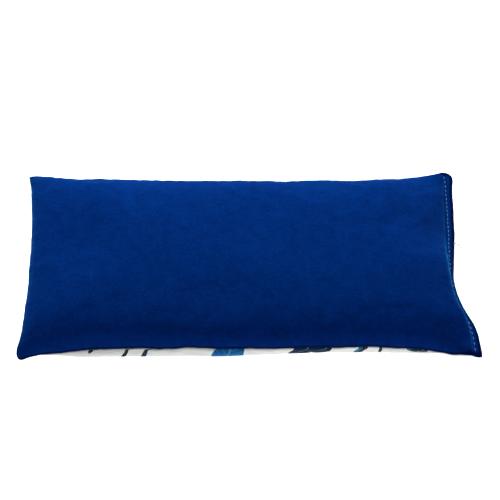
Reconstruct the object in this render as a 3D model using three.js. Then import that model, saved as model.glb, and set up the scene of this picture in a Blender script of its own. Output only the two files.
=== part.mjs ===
// Eye pillow: two cloth panels sewn face to face round three sides, turned right side out,
// filled with flax seed and closed by a topstitched lip at the fourth side.
// Millimetres. +X runs along the pillow to the closed lip, +Y to its far long side, +Z is up.
// The pillow lies on the plane z = 0, and the origin is the middle of its footprint.
import * as THREE from "three";

// ---- Driving dimensions ------------------------------------------------------------------------
const LENGTH = 234.8; // from corner to corner along a long side, the mean of the two
const WIDTH = 110; // from corner to corner across an end
const HEIGHT = 29; // from the table to the crown
// How far the far corner of each end has slid towards -X, and the near corner towards +X.
const SHEAR = { left: 3.5, lip: 1.9 };
const FRONT_CLOTH = 1.2; // thickness of the brushed knit on top
const BACK_CLOTH = 0.6; // thickness of the printed cotton underneath
const ALLOWANCE = 10; // width of the seam allowance turned inside
const LIP = 5; // width of the flat lip at the closed end
const STITCH_INSET = 3.8; // from the edge of the lip to the topstitching
const SEAM_INSET = 3.4; // from the outside edge to the threads of the inside seam
const CORNER_TURN = 6; // from a corner to where that seam leaves the side to go round it
const CLOSING_REACH = 0.97; // how much of the lip the closing seam runs along
const THREAD = 0.4; // diameter of the sewing thread
const TAIL = { at: 0.16, reach: 4.6, lean: 1.3, droop: 1.6, diameter: 0.3, steps: 6 };
const GAP = 0.3; // between touching pieces

// How far each side pulls in between its corners once the bag is full, and how straight the
// pulled-in run is: a higher power keeps the bend nearer the corners.
const PULL_NEAR = { depth: 1.2, power: 4 };
const PULL_FAR = { depth: 11, power: 4.5 };
const PULL_LEFT = { depth: 4, power: 2.2 };
const PULL_LIP = { depth: 2.2, power: 4 };
// Where the lip bends in and down: its depth, its place, and its reach and power on each side.
const NOTCH = { depth: 6.9, at: -0.19, near: { reach: 0.4, power: 2 }, far: { reach: 0.45, power: 1.2 } };

// The seam runs at this height along the sides, and droops towards the table at the corners.
const SEAM_HEIGHT = 8.5;
const CORNER_HEIGHT = 3;
const CORNER_POWER = 5;
const LIP_DROOP = { share: 0.65, from: 0.75 }; // the lip's height over the seam's, from this s on

const SEAM_TILT = 1.6; // how much higher the near seam is than that, and the far seam lower

// Distance over which the top cloth curves from the seam to the crown, and the power of the
// curve: 2 is an ellipse, and more is fuller.
const CROWN_REACH = 55;
const FULLNESS = { side: 2.5, left: 2.2, lip: 1.7 };

// The back cloth curves under the bag as part of an ellipse, whose widest line is below the seam
// by these degrees of its turn in the middle of a side. The bulge dies away at the corners. The
// reach is along the cloth, and the curve is across the table.
const UNDER = { reach: 14, curve: 7 };
const BULGE = { near: 48, far: 10, left: 20 };

// The fill stays clear of the inside seam, of the inner edge of the lip and of the empty corners.
const FILL_GAP = 0.5;
const FILL_INSET = { side: 6, left: 5, right: 3 };
const CORNER_CUT = { depth: 0.09, power: 3 };

// Cells along and across each cloth surface, and how far they bunch towards its edges.
const CELLS = { along: 32, across: 16, bunching: 0.75 };

const HALF_LENGTH = LENGTH / 2;
const HALF_WIDTH = WIDTH / 2;
const LIP_S = 1 - LIP / HALF_LENGTH; // where the lip starts, as a share of the half length
const FOLD = { share: 0.5, inset: 0.5 }; // a folded edge's height over the cloth's, and its depth

// ---- The shape of the filled bag ---------------------------------------------------------------
// s runs from -1 at the left end to 1 at the lip, and t from -1 at the near side to 1 at the far one.

// 0 at the corners and 1 for most of the way between them.
const arch = (v, power) => 1 - Math.abs(v) ** power;

// A quarter of a superellipse: 0 at the edge, level with the crown from reach onwards.
function curveIn(distance, reach, power) {
  const left = 1 - THREE.MathUtils.clamp(distance / reach, 0, 1);
  return (1 - left ** power) ** (1 / power);
}

function plan(s, t) {
  const { reach, power } = t < NOTCH.at ? NOTCH.near : NOTCH.far;
  const notch = NOTCH.depth * Math.exp(-((Math.abs(t - NOTCH.at) / reach) ** power));
  const left = -HALF_LENGTH + PULL_LEFT.depth * arch(t, PULL_LEFT.power) - SHEAR.left * t;
  const right = HALF_LENGTH - PULL_LIP.depth * arch(t, PULL_LIP.power) - notch - SHEAR.lip * t;
  const near = -HALF_WIDTH + PULL_NEAR.depth * arch(s, PULL_NEAR.power);
  const far = HALF_WIDTH - PULL_FAR.depth * arch(s, PULL_FAR.power);
  return [
    THREE.MathUtils.lerp(left, right, (s + 1) / 2),
    THREE.MathUtils.lerp(near, far, (t + 1) / 2),
  ];
}

function seamHeight(s, t) {
  const nearLip = THREE.MathUtils.smoothstep(s, LIP_DROOP.from, 1);
  const droop = THREE.MathUtils.lerp(1, LIP_DROOP.share, nearLip);
  const middle = SEAM_HEIGHT - SEAM_TILT * t;
  return CORNER_HEIGHT + (middle - CORNER_HEIGHT) * arch(s * t, CORNER_POWER) * droop;
}

// 0 at the seam and all over the lip, and 1 at the level crown.
function crownRise(s, t) {
  const fromLeft = curveIn((1 + s) * HALF_LENGTH, CROWN_REACH, FULLNESS.left);
  const fromLip = curveIn((1 - s) * HALF_LENGTH - LIP, CROWN_REACH, FULLNESS.lip);
  const fromSide = curveIn((1 - Math.abs(t)) * HALF_WIDTH, CROWN_REACH, FULLNESS.side);
  return fromLeft * fromLip * fromSide;
}

// The back cloth at this distance from a seam: the share of the way down to the table that it
// has gone, and the share of the half size that it has come in, which is negative on the bulge.
function goUnder(distance, bulge, halfSize) {
  const start = THREE.MathUtils.degToRad(bulge);
  const turned = THREE.MathUtils.clamp(distance / UNDER.reach, 0, 1);
  const angle = THREE.MathUtils.lerp(-start, Math.PI / 2, turned);
  const flat = Math.max(distance - UNDER.reach, 0) / (halfSize - UNDER.reach);
  const curved = UNDER.curve * (Math.cos(start) - Math.cos(angle));
  const spread = flat * (halfSize - UNDER.curve * Math.cos(start));
  return {
    drop: (Math.sin(start) + Math.sin(angle)) / (1 + Math.sin(start)),
    share: (curved + spread) / halfSize,
  };
}

function underside(s, t) {
  const leftBulge = BULGE.left * arch(t, CORNER_POWER);
  const sideBulge = (t < 0 ? BULGE.near : BULGE.far) * arch(s, CORNER_POWER * 2);
  const left = goUnder((1 + s) * HALF_LENGTH, leftBulge, HALF_LENGTH);
  const side = goUnder((1 - Math.abs(t)) * HALF_WIDTH, sideBulge, HALF_WIDTH);
  const lip = curveIn((1 - s) * HALF_LENGTH - LIP, UNDER.reach, FULLNESS.lip);
  return {
    drop: left.drop * side.drop * lip,
    at: [s < 0 ? left.share - 1 : s, Math.sign(t) * (1 - side.share)],
  };
}

// A folded edge is half a cloth high, and the lip two cloths.
function edgeHeight(s, cloth) {
  const ontoLip = THREE.MathUtils.smoothstep(s, LIP_S - (2 * LIP) / HALF_LENGTH, LIP_S);
  return cloth * THREE.MathUtils.lerp(FOLD.share, 2, ontoLip);
}

// Distances in from the four sides, as the s and t they lead to.
const allRound = (inset) => ({ left: inset, right: inset, side: inset });
const inward = (s, t, { left, right, side }) => [
  THREE.MathUtils.mapLinear(s, -1, 1, -1 + left / HALF_LENGTH, 1 - right / HALF_LENGTH),
  t * (1 - side / HALF_WIDTH),
];

// The bag's outer faces.
function frontOutside(s, t) {
  const edge = seamHeight(s, t) + GAP / 2 + edgeHeight(s, FRONT_CLOTH);
  return [...plan(s, t), THREE.MathUtils.lerp(edge, HEIGHT, crownRise(s, t))];
}

function backOutside(s, t) {
  const { drop, at } = underside(s, t);
  const edge = seamHeight(s, t) - GAP / 2 - edgeHeight(s, BACK_CLOTH);
  return [...plan(...at), edge * (1 - drop)];
}

// The faces of the two turned-in allowances that look into the bag.
const frontShelf = (s, t) => seamHeight(s, t) + GAP / 2 + FRONT_CLOTH;
const backShelf = (s, t) => seamHeight(s, t) - GAP / 2 - BACK_CLOTH;

// Faces inside the bag follow the outer ones, drawn in by these distances from the sides and from
// the inner edge of the lip. At 0 clearance they are the inner faces of the cloth.
const SHORT_OF_LIP = { left: 0, right: LIP, side: 0 };

function insideTop(inset, clear) {
  const crown = HEIGHT - FRONT_CLOTH - clear;
  return (s, t) => {
    const outer = inward(s, t, SHORT_OF_LIP);
    const at = inward(...outer, inset);
    const edge = frontShelf(...at) + clear;
    return [...plan(...at), THREE.MathUtils.lerp(edge, crown, crownRise(...outer))];
  };
}

function insideBottom(inset, clear) {
  return (s, t) => {
    const outer = inward(s, t, SHORT_OF_LIP);
    const { drop, at } = underside(...outer);
    const edge = backShelf(...inward(...outer, inset)) - clear;
    return [...plan(...inward(...at, inset)), THREE.MathUtils.lerp(edge, BACK_CLOTH + clear, drop)];
  };
}

// A face at this height over the plan, drawn in from the edges.
const shelf = (height, inset) => (s, t) => {
  const at = inward(s, t, inset);
  return [...plan(...at), height(...at)];
};

// ---- Closed solids from two cloth surfaces and the loops between their edges -------------------
// Cells are finer towards the edges, where the cloth curves most.
function ticks(cells) {
  return Array.from({ length: cells + 1 }, (_, i) => {
    const even = (2 * i) / cells - 1;
    return THREE.MathUtils.lerp(even, Math.sin((even * Math.PI) / 2), CELLS.bunching);
  });
}

// One more cell takes in the lip.
const TICKS_S = [...ticks(CELLS.along).map((s) => -1 + ((s + 1) * (LIP_S + 1)) / 2), 1];
const TICKS_T = ticks(CELLS.across);

// The cells' indexes round the edge, anticlockwise from above, from the near left corner.
function edgeCells() {
  const along = TICKS_S.length - 1;
  const across = TICKS_T.length - 1;
  const round = [];
  for (let i = 0; i < along; i++) round.push([i, 0]);
  for (let j = 0; j < across; j++) round.push([along, j]);
  for (let i = along; i > 0; i--) round.push([i, across]);
  for (let j = across; j > 0; j--) round.push([0, j]);
  return round;
}

// top and bottom give a point for any s and t, and each rim gives one for s and t on the edge.
function solidBetween(top, rims, bottom) {
  const points = [];
  const faces = [];
  const add = (point) => points.push(point) - 1;
  const apart = (a, b) => Math.hypot(...points[a].map((value, axis) => value - points[b][axis]));
  // Each cell is split along its shorter diagonal, so that facing surfaces are split alike.
  const quad = (a, b, c, d) =>
    faces.push(...(apart(a, c) < apart(b, d) ? [a, b, c, a, c, d] : [a, b, d, b, c, d]));
  const sheet = (surface) => TICKS_S.map((s) => TICKS_T.map((t) => add(surface(s, t))));
  const round = edgeCells();

  const upper = sheet(top);
  const lower = sheet(bottom);
  for (let i = 0; i + 1 < TICKS_S.length; i++) {
    for (let j = 0; j + 1 < TICKS_T.length; j++) {
      quad(upper[i][j], upper[i + 1][j], upper[i + 1][j + 1], upper[i][j + 1]);
      quad(lower[i][j], lower[i][j + 1], lower[i + 1][j + 1], lower[i + 1][j]);
    }
  }
  const loops = [
    round.map(([i, j]) => upper[i][j]),
    ...rims.map((rim) => round.map(([i, j]) => add(rim(TICKS_S[i], TICKS_T[j])))),
    round.map(([i, j]) => lower[i][j]),
  ];
  for (let n = 0; n + 1 < loops.length; n++) {
    round.forEach((_, k) => {
      const next = (k + 1) % round.length;
      quad(loops[n][k], loops[n + 1][k], loops[n + 1][next], loops[n][next]);
    });
  }

  const geometry = new THREE.BufferGeometry();
  geometry.setAttribute("position", new THREE.Float32BufferAttribute(points.flat(), 3));
  geometry.setIndex(faces);
  geometry.computeVertexNormals();
  return geometry;
}

// ---- Materials ---------------------------------------------------------------------------------
const cloth = (color, roughness) =>
  new THREE.MeshStandardMaterial({ color, roughness, metalness: 0 });
const BLUE_KNIT = cloth(0x0a3a86, 0.95);
const PRINTED_COTTON = cloth(0xe9edf0, 0.85);
const FLAX = cloth(0x7a4a26, 0.6);
const BLUE_THREAD = cloth(0x6f9ad0, 0.7);
const WHITE_THREAD = cloth(0xdfe3ea, 0.7);

function piece(name, geometry, material) {
  const mesh = new THREE.Mesh(geometry, material);
  mesh.name = name;
  return mesh;
}

// ---- The two panels ----------------------------------------------------------------------------
// Each cloth comes to the seam, turns in on itself and ends in a raw edge.
const TURN = allRound(FOLD.inset);
const SEAM = allRound(SEAM_INSET);
const SEAM_WITHIN = { ...SEAM, right: (LIP + ALLOWANCE) / 2 };
const HEM = allRound(ALLOWANCE);

function frontPanel() {
  const under = (s, t) => seamHeight(s, t) + GAP / 2;
  const rims = [
    shelf(under, TURN),
    shelf(under, SEAM),
    shelf(under, HEM),
    shelf(frontShelf, HEM),
    shelf(frontShelf, SEAM_WITHIN),
  ];
  return solidBetween(frontOutside, rims, insideTop(allRound(FRONT_CLOTH), 0));
}

function backPanel() {
  const over = (s, t) => seamHeight(s, t) - GAP / 2;
  const rims = [
    shelf(backShelf, SEAM_WITHIN),
    shelf(backShelf, HEM),
    shelf(over, HEM),
    shelf(over, SEAM),
    shelf(over, TURN),
  ];
  return solidBetween(insideBottom(allRound(BACK_CLOTH), 0), rims, backOutside);
}

// ---- The loose seed, heaped between the panels and round the turned-in allowances --------------
function seedFill() {
  const above = (s, t) => frontShelf(s, t) + FILL_GAP;
  const below = (s, t) => backShelf(s, t) - FILL_GAP;
  const clearOfHem = allRound(ALLOWANCE + FILL_GAP);
  const shortOfCorners = (surface) => (s, t) => {
    const kept = 1 - CORNER_CUT.depth * Math.abs(s * t) ** CORNER_CUT.power;
    return surface(s * kept, t * kept);
  };
  const rims = [shelf(above, clearOfHem), shelf(below, clearOfHem)].map(shortOfCorners);
  return solidBetween(
    shortOfCorners(insideTop(FILL_INSET, FILL_GAP)),
    rims,
    shortOfCorners(insideBottom(FILL_INSET, FILL_GAP)),
  );
}

// ---- Threads -----------------------------------------------------------------------------------
// Shares of the way along a stitch line at which its path is set out.
const RUN = Array.from({ length: 21 }, (_, i) => i / 20);

function thread(points, steps, diameter = THREAD) {
  const section = new THREE.Shape().absarc(0, 0, diameter / 2, 0, 2 * Math.PI);
  const extrudePath = new THREE.CatmullRomCurve3(points.map((p) => new THREE.Vector3(...p)));
  const options = { steps, extrudePath, bevelEnabled: false, curveSegments: 3 };
  return new THREE.ExtrudeGeometry(section, options);
}

// One thread of the lockstitched inside seam: along the far side, round the left end and back.
// It lies on the allowance, above the seam for the needle thread and below for the bobbin's.
function insideSeam(height) {
  const point = shelf(height, { left: SEAM_INSET, right: 0, side: SEAM_INSET });
  const start = 1 - (2 * LIP) / HALF_LENGTH;
  const turn = { s: 1 - CORNER_TURN / HALF_LENGTH, t: 1 - CORNER_TURN / HALF_WIDTH };
  const side = RUN.map((share) => THREE.MathUtils.lerp(start, -turn.s, share));
  const points = [
    ...side.map((s) => point(s, 1)),
    ...RUN.map((share) => point(-1, THREE.MathUtils.lerp(turn.t, -turn.t, share))),
    ...side.reverse().map((s) => point(s, -1)),
  ];
  return thread(points, 110);
}

// One thread of the topstitching that closes the lip, on its upper or its under face.
function closingSeam(height) {
  const s = 1 - STITCH_INSET / HALF_LENGTH;
  const points = RUN.map((share) => {
    const t = THREE.MathUtils.lerp(-CLOSING_REACH, CLOSING_REACH, share);
    return [...plan(s, t), height(s, t)];
  });
  return thread(points, 36);
}

// The cut end of the closing thread, left hanging out of the lip.
function threadTail() {
  const [x, y] = plan(1, TAIL.at);
  const z = seamHeight(1, TAIL.at);
  const points = [0, 1 / 3, 2 / 3, 1].map((share) => [
    x + GAP + TAIL.reach * share,
    y - TAIL.lean * share ** 2,
    z - TAIL.droop * share ** 2,
  ]);
  return thread(points, TAIL.steps, TAIL.diameter);
}

// ---- Assembly ----------------------------------------------------------------------------------
const offThread = GAP + THREAD / 2;
const onAllowance = (s, t) => frontShelf(s, t) + offThread;
const underAllowance = (s, t) => backShelf(s, t) - offThread;
const onLip = (s, t) => seamHeight(s, t) + GAP / 2 + 2 * FRONT_CLOTH + offThread;
const underLip = (s, t) => seamHeight(s, t) - GAP / 2 - 2 * BACK_CLOTH - offThread;

const pillow = new THREE.Group();
pillow.add(
  piece("front_panel", frontPanel(), BLUE_KNIT),
  piece("back_panel", backPanel(), PRINTED_COTTON),
  piece("seed_fill", seedFill(), FLAX),
  piece("inside_seam_needle_thread", insideSeam(onAllowance), BLUE_THREAD),
  piece("inside_seam_bobbin_thread", insideSeam(underAllowance), WHITE_THREAD),
  piece("closing_needle_thread", closingSeam(onLip), BLUE_THREAD),
  piece("closing_bobbin_thread", closingSeam(underLip), WHITE_THREAD),
  piece("thread_tail", threadTail(), WHITE_THREAD),
);

// The footprint's middle goes to the origin.
const footprint = new THREE.Box3().setFromObject(pillow).getCenter(new THREE.Vector3());
pillow.position.set(-footprint.x, -footprint.y, 0);

export default pillow;
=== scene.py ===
"""The looks of an eye pillow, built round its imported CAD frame.

The filled bag is set out once, as smooth functions of s and t: s runs from -1 at the left end to
1 at the stitched lip, and t from -1 at the near side to 1 at the far one. A cloth simulation then
wrinkles it, and the cloths, the seed and the threads are all meshed from the same surfaces.
"""

import math

import bpy
import numpy as np
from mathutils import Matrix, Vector


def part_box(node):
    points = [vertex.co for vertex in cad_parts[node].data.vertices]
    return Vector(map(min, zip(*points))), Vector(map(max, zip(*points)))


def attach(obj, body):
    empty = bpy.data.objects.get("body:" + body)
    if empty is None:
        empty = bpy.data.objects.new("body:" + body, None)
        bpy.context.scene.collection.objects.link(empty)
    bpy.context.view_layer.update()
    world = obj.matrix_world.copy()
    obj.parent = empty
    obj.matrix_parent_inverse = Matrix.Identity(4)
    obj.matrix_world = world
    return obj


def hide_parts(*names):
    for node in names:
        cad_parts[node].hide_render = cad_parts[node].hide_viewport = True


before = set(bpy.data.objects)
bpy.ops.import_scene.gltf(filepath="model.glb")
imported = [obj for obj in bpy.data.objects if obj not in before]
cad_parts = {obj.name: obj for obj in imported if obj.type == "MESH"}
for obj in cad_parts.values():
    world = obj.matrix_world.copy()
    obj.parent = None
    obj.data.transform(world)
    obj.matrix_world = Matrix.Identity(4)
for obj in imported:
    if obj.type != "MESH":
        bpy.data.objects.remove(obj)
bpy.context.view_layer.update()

MM = 0.001

# ---- Dimensions ----
front_low, front_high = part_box("front_panel")
# How far the far corner of each end has slid towards -X, and the near corner towards +X.
SHEAR_LEFT = 3.5 * MM
SHEAR_LIP = 1.9 * MM
HALF_LENGTH = (front_high.x - front_low.x - SHEAR_LEFT - SHEAR_LIP) / 2
HALF_WIDTH = (front_high.y - front_low.y) / 2
HEIGHT = front_high.z
CENTRE_X = front_low.x + SHEAR_LEFT + HALF_LENGTH
CENTRE_Y = (front_low.y + front_high.y) / 2

FRONT_CLOTH = 1.2 * MM
BACK_CLOTH = 0.6 * MM
GAP = 0.3 * MM
FOLD = 0.5 * MM  # how far in from the seam a folded edge turns
ALLOWANCE = 10 * MM
LIP = 6 * MM  # width of the flat strip at the closed end
STITCH_INSET = 4.1 * MM  # from the lip's outer edge to the topstitching
STITCH_DRIFT = 1.6 * MM  # and this much further at the far end
DRIFT_FROM = 0.75  # the t where it starts to drift
STITCH = 2.65 * MM  # length of one stitch
STITCHED = 0.965  # the share of the lip's width that is topstitched
THREAD = 0.42 * MM
TWIST = 0.55 * MM  # along the thread, from one of its plies to the next

# The way each side pulls in between its corners, as in the frame.
PULL_NEAR = (1.2 * MM, 4)
PULL_FAR = (10.8 * MM, 4.5)
PULL_FAR_MORE = 0.7 * MM  # and this much more at the left than in the middle
PULL_LEFT = (4.5 * MM, 2.2)
PULL_LIP = (1.6 * MM, 1.2)
PULL_LIP_MORE = 2.4 * MM  # and this much more at the far end than in the middle
NOTCH_DEPTH = 7.45 * MM
NOTCH_AT = -0.21
NOTCH_SPREAD = {"low_reach": 0.43, "high_reach": 0.46, "low_power": 3.4, "high_power": 1.2}
# The lip's slope in degrees: at its corners, and how much steeper it gets by the notch.
LIP_SLOPE = 24
LIP_HANG = 33
HANG_AT = -0.24
HANG_SPREAD = {"low_reach": 0.52, "high_reach": 0.32}

SEAM_HEIGHT = 8.5 * MM
SEAM_TILT = 1.6 * MM  # the near seam is this much higher, and the far one lower
CORNER_HEIGHT = {"near": 1.7 * MM, "far": 3 * MM}
CORNER_POWER = 2.8  # the higher, the closer to the corners the seam sinks
LIP_EDGE_HEIGHT = 4 * MM
LIP_EDGE_POWER = 3
LIP_EASE = 0.82  # from this s on, the seam runs over to the height of the lip's crease

# The top curves from its seams to the crown over these reaches. A power of 2 gives an ellipse,
# and more is fuller.
CROWN_REACH = 55 * MM
LIP_REACH = 42 * MM
CROWN_POWER = {"left": 1.9, "side": 2.9, "lip": 1.45, "hanging lip": 2.2}
# The back cloth curves under the bag as part of an ellipse, whose widest line is below the seam
# by the bulge, in degrees of its turn. The reach is along the cloth, the curve across the table.
UNDER_REACH = 14 * MM
UNDER_CURVE = 7 * MM
UNDER_LIP_POWER = 1.7
BULGE = {"near": 48, "near right": 21, "far": 10, "left": 20}
BULGE_POWER = {"left": 5, "side": 10}
BULGE_GROWS = (-0.96, -0.66)  # between these s, the near bulge grows from nothing
BULGE_SHRINKS = (-0.2, 0.42)  # and between these it shrinks to its right value
# In millimetres, where a long seam leans out or up: its side, where along it, how far either
# way, out and up.
SEAM_LEANS = [
    (-1, -70, 14, -0.7, 0),
    (-1, 6, 24, 0.4, 0),
    (-1, 69, 32, -0.8, 1),
    (-1, 107, 8, 1.1, 0),
    (1, -62, 24, 0.8, 0),
    (1, 21, 14, -0.7, 0),
    (1, 66, 13, -1.2, 0),
    (1, 99, 12, 1.4, 0),
]

# How each seam wanders from its smooth line: seed, and wavelength and distance in millimetres.
WANDERS = {
    "near": (3, 34, 0.3),
    "far": (5, 26, 0.3),
    "left": (7, 30, 0.25),
    "lip": (11, 22, 0.12),
    "near height": (13, 40, 0.4),
    "far height": (17, 30, 0.4),
}
SEAM_REACH = 5 * MM  # how far in from a seam its wandering is felt
LEVEL_POWER = 8  # the lower, the further from its corners a seam stays level
# Each corner's end and side and, in millimetres, the radius it is rounded to and how far the top
# cloth sticks out there, along the pillow and across it.
CORNERS = [
    (-1, -1, 6, (2.2, 3)),
    (-1, 1, 2.2, (0.2, -0.8)),
    (1, -1, 1.5, (0.3, 1.1)),
    (1, 1, 6.4, (1.1, 1.6)),
]
FLARE_REACH = 8  # and how far from a corner it does

# A folded edge is half a cloth thick above its seam, and the lip one and a half.
FOLDED = 0.5
PRESSED = 1.5
LIP_S = 1 - LIP / HALF_LENGTH  # where the lip starts
LIP_TURN_S = LIP_S - 2 * LIP / HALF_LENGTH  # where the body starts to turn into it
UNDER_TURN_S = LIP_S - 4 * LIP / HALF_LENGTH  # and where the underside does
LIP_CLOTH = GAP / 2 + PRESSED * FRONT_CLOTH  # half the lip's thickness, above its seam

# Small shapes of the cloths.
PUCKER_SPACING = 19 * MM
PUCKER_RISE = 2.5 * MM  # how far in from the seam a pucker is highest
PUCKER_FADE = 14 * MM
PUCKER_HEIGHT = 0.22 * MM
PUCKER_DIP = 1.6  # how sharply it falls off on both sides
NEAR_PUCKERS = 0.8  # the height of those at the near seam, as a share of the others
# A topstitch presses the lip in by this depth where it goes through, and eases off in between.
DENT = {"reach": 0.9 * MM, "depth": 0.75 * MM, "ease": 0.6, "from_corner": 0.06}
SWELL_REACH = 2.2 * MM  # how far in from the lip the bag's end swells most
SWELL_SHIFT = (0.2 * MM, 0, 1.4 * MM)
LUMPS = {"spacing": 48 * MM, "height": 0.3 * MM}
LUMP_EDGE = (0, 12 * MM)  # the lumps and hollows grow over this distance in from the seams
CREASES = {"spacing": 36 * MM, "height": 0.45 * MM}
CREASE_EDGE = (4 * MM, 16 * MM)
CLEAR = 0.02 * MM  # how far the underside stays off the table

# Broad hollows in the top, where the seed has shifted: x, y, radius and depth in millimetres.
HOLLOWS = [
    (-82, 2, 16, 1.3),
    (12, 15, 14, 1.1),
    (-3, -32, 15, 1),
    (78, -34, 15, 1.1),
    (-64, -38, 14, 1),
    (55, 12, 18, 0.7),
    (36, 39, 7, 0.7),
]

# Cells of the simulated bag, the finished cloths and the seed, along and across.
ROUGH_CELLS = (112, 52)
FINE_CELLS = (210, 140)
SEED_CELLS = (90, 46)
TUBE_SIDES = 8
STITCH_POINTS = 16  # along one topstitch
SIDE_POINTS = 260  # along one side of the hidden seam
END_POINTS = 110  # and along its end
TAIL_POINTS = 24
BUNCHING = 0.55  # how strongly the cells bunch towards the seams
LIP_CELLS = 0.05  # the lip's share of the cells along
# More lines across the top cloth, this far from its seams, where it rises steeply off them.
STEEP_LEFT = np.array([0.02, 0.08, 0.2]) * MM
STEEP_SIDES = np.array([0.01, 0.04, 0.12]) * MM

# The seed stops short of the cloths by this gap, and is heaped in lumps.
HEAP_ROUND = 5 * MM  # radius of its rim
HEAP_GAP = 0.15 * MM
HEAP_LUMPS = {"spacing": 5 * MM, "height": 0.12 * MM}

# The threads. A topstitch lies this high on the cloth, and dips by this much where it goes through.
STITCH_LIES = 0.1 * MM
STITCH_DIPS = 0.75 * MM
DIP_SHARE = 0.2  # of a stitch, to each side of the hole
DIP_POWER = 4
THREAD_WANDER = 0.12 * MM
WANDER_LENGTH = 11 * MM
TAIL_WAVE = 9  # radians, along the cut end
SEAM_INSET = 3.4 * MM  # the hidden seam's thread, in from the fold
SEAM_LIFT = 0.5 * MM  # and off its cloth
SEAM_CORNER = 6 * MM  # where it starts to turn round a corner
ROUNDINGS = 6  # how often its line is smoothed

# The cloth simulation: its settings, and what of its movement is kept.
CLOTH = {
    "quality": 6,
    "mass": 0.15,
    "tension_stiffness": 25,
    "compression_stiffness": 25,
    "shear_stiffness": 8,
    "bending_stiffness": 0.6,
    "shrink_min": -0.03,
    "use_pressure": True,
    "uniform_pressure_force": 4,
}
FRAMES = 20
WRINKLE_CELLS = (1, 4)  # wrinkles narrower or wider than about these cells are left out
WRINKLE_CAP = 0.2 * MM
TINY = 1e-9


# ---- Small helpers ----
def mix(a, b, share):
    return a + (b - a) * share


def smooth(value, low, high):
    share = np.clip((value - low) / (high - low), 0, 1)
    return share * share * (3 - 2 * share)


def arch(value, power):
    """0 at the corners, and 1 for most of the way between them."""
    return 1 - np.abs(value) ** power


def curve_in(distance, reach, power):
    """A quarter of a superellipse: 0 at the edge, and 1 from reach onwards."""
    left = 1 - np.clip(distance / reach, 0, 1)
    return (1 - left**power) ** (1 / power)


def waver(along, seed, wavelength):
    """Smooth seeded wandering between about -1 and 1, for distances in metres."""
    rng = np.random.default_rng(seed)
    total = np.zeros_like(along)
    for octave in range(4):
        pitch = wavelength * rng.uniform(0.8, 1.25) / 1.7**octave
        total += np.sin(2 * np.pi * along / pitch + rng.uniform(0, 2 * np.pi)) / 1.5**octave
    return total / 2


def relief(x, y, seed, wavelength):
    """Smooth seeded hills and hollows between about -1 and 1."""
    rng = np.random.default_rng(seed)
    total = np.zeros_like(x)
    waves = 9
    for _ in range(waves):
        heading = rng.uniform(0, 2 * np.pi)
        pitch = wavelength * rng.uniform(0.7, 1.5)
        along = x * math.cos(heading) + y * math.sin(heading)
        total += np.sin(2 * np.pi * along / pitch + rng.uniform(0, 2 * np.pi))
    return total / math.sqrt(waves)


# ---- The shape of the filled bag ----
def hump(value, top, low_reach, high_reach, low_power=2, high_power=2):
    """1 at the top, and falling away at its own rate on each side."""
    low = (np.abs(value - top) / low_reach) ** low_power
    high = (np.abs(value - top) / high_reach) ** high_power
    return np.exp(-np.where(value < top, low, high))


def hanging(t):
    """The lip lies fairly flat at its corners, and hangs down by the notch."""
    return hump(t, HANG_AT, **HANG_SPREAD)


def lip_angle(t):
    """The lip's slope, in radians."""
    return np.radians(LIP_SLOPE + LIP_HANG * hanging(t))


def plan(s, t):
    """Where s and t are on the table."""
    notch = NOTCH_DEPTH * hump(t, NOTCH_AT, **NOTCH_SPREAD)
    left = -HALF_LENGTH + PULL_LEFT[0] * arch(t, PULL_LEFT[1]) - SHEAR_LEFT * t
    pull_lip = (PULL_LIP[0] + PULL_LIP_MORE * t) * arch(t, PULL_LIP[1])
    right = HALF_LENGTH - pull_lip - SHEAR_LIP * t - notch
    thick = LIP_CLOTH * (np.sin(lip_angle(t)) - math.sin(math.radians(LIP_SLOPE)))
    crease = right - thick - LIP * np.cos(lip_angle(t))
    on_lip = np.maximum(s - LIP_S, 0) * HALF_LENGTH
    x = mix(left, crease, np.minimum((s + 1) / (LIP_S + 1), 1))
    x = x + on_lip * np.cos(lip_angle(t))

    near = -HALF_WIDTH + PULL_NEAR[0] * arch(s, PULL_NEAR[1])
    far = HALF_WIDTH - (PULL_FAR[0] - PULL_FAR_MORE * s) * arch(s, PULL_FAR[1])
    y = mix(near, far, (t + 1) / 2)
    return CENTRE_X + x, CENTRE_Y + y


def seam_height(s, t):
    """The height of the surface that the seams lie in."""
    middle = SEAM_HEIGHT - SEAM_TILT * t
    low = mix(CORNER_HEIGHT["near"], CORNER_HEIGHT["far"], (t + 1) / 2)
    body = low + (middle - low) * arch(s * t, CORNER_POWER)
    edge = mix(low, LIP_EDGE_HEIGHT, arch(t, LIP_EDGE_POWER))
    drop = np.sin(lip_angle(t))
    crease = edge + LIP * drop
    on_lip = np.maximum(s - LIP_S, 0) * HALF_LENGTH
    return mix(body, crease, smooth(s, LIP_EASE, LIP_S)) - on_lip * drop


def off_seam(s, t, height):
    """A point this far off the seams' surface: straight up, or square to the lip on it."""
    turned = lip_angle(t) * smooth(s, LIP_TURN_S, LIP_S)
    x, y = plan(s, t)
    z = seam_height(s, t)
    return np.stack([x + height * np.sin(turned), y, z + height * np.cos(turned)], -1)


def edge_height(s, cloth):
    """How far the outside of a cloth is off its seam, at the seam."""
    return cloth * mix(FOLDED, PRESSED, smooth(s, LIP_TURN_S, LIP_S))


def inward(s, t):
    """Distances in from the left seam, from the lip's inner edge and from the nearer side."""
    from_lip = np.maximum(LIP_S - s, 0) * HALF_LENGTH
    return (1 + s) * HALF_LENGTH, from_lip, (1 - np.abs(t)) * HALF_WIDTH


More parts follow.
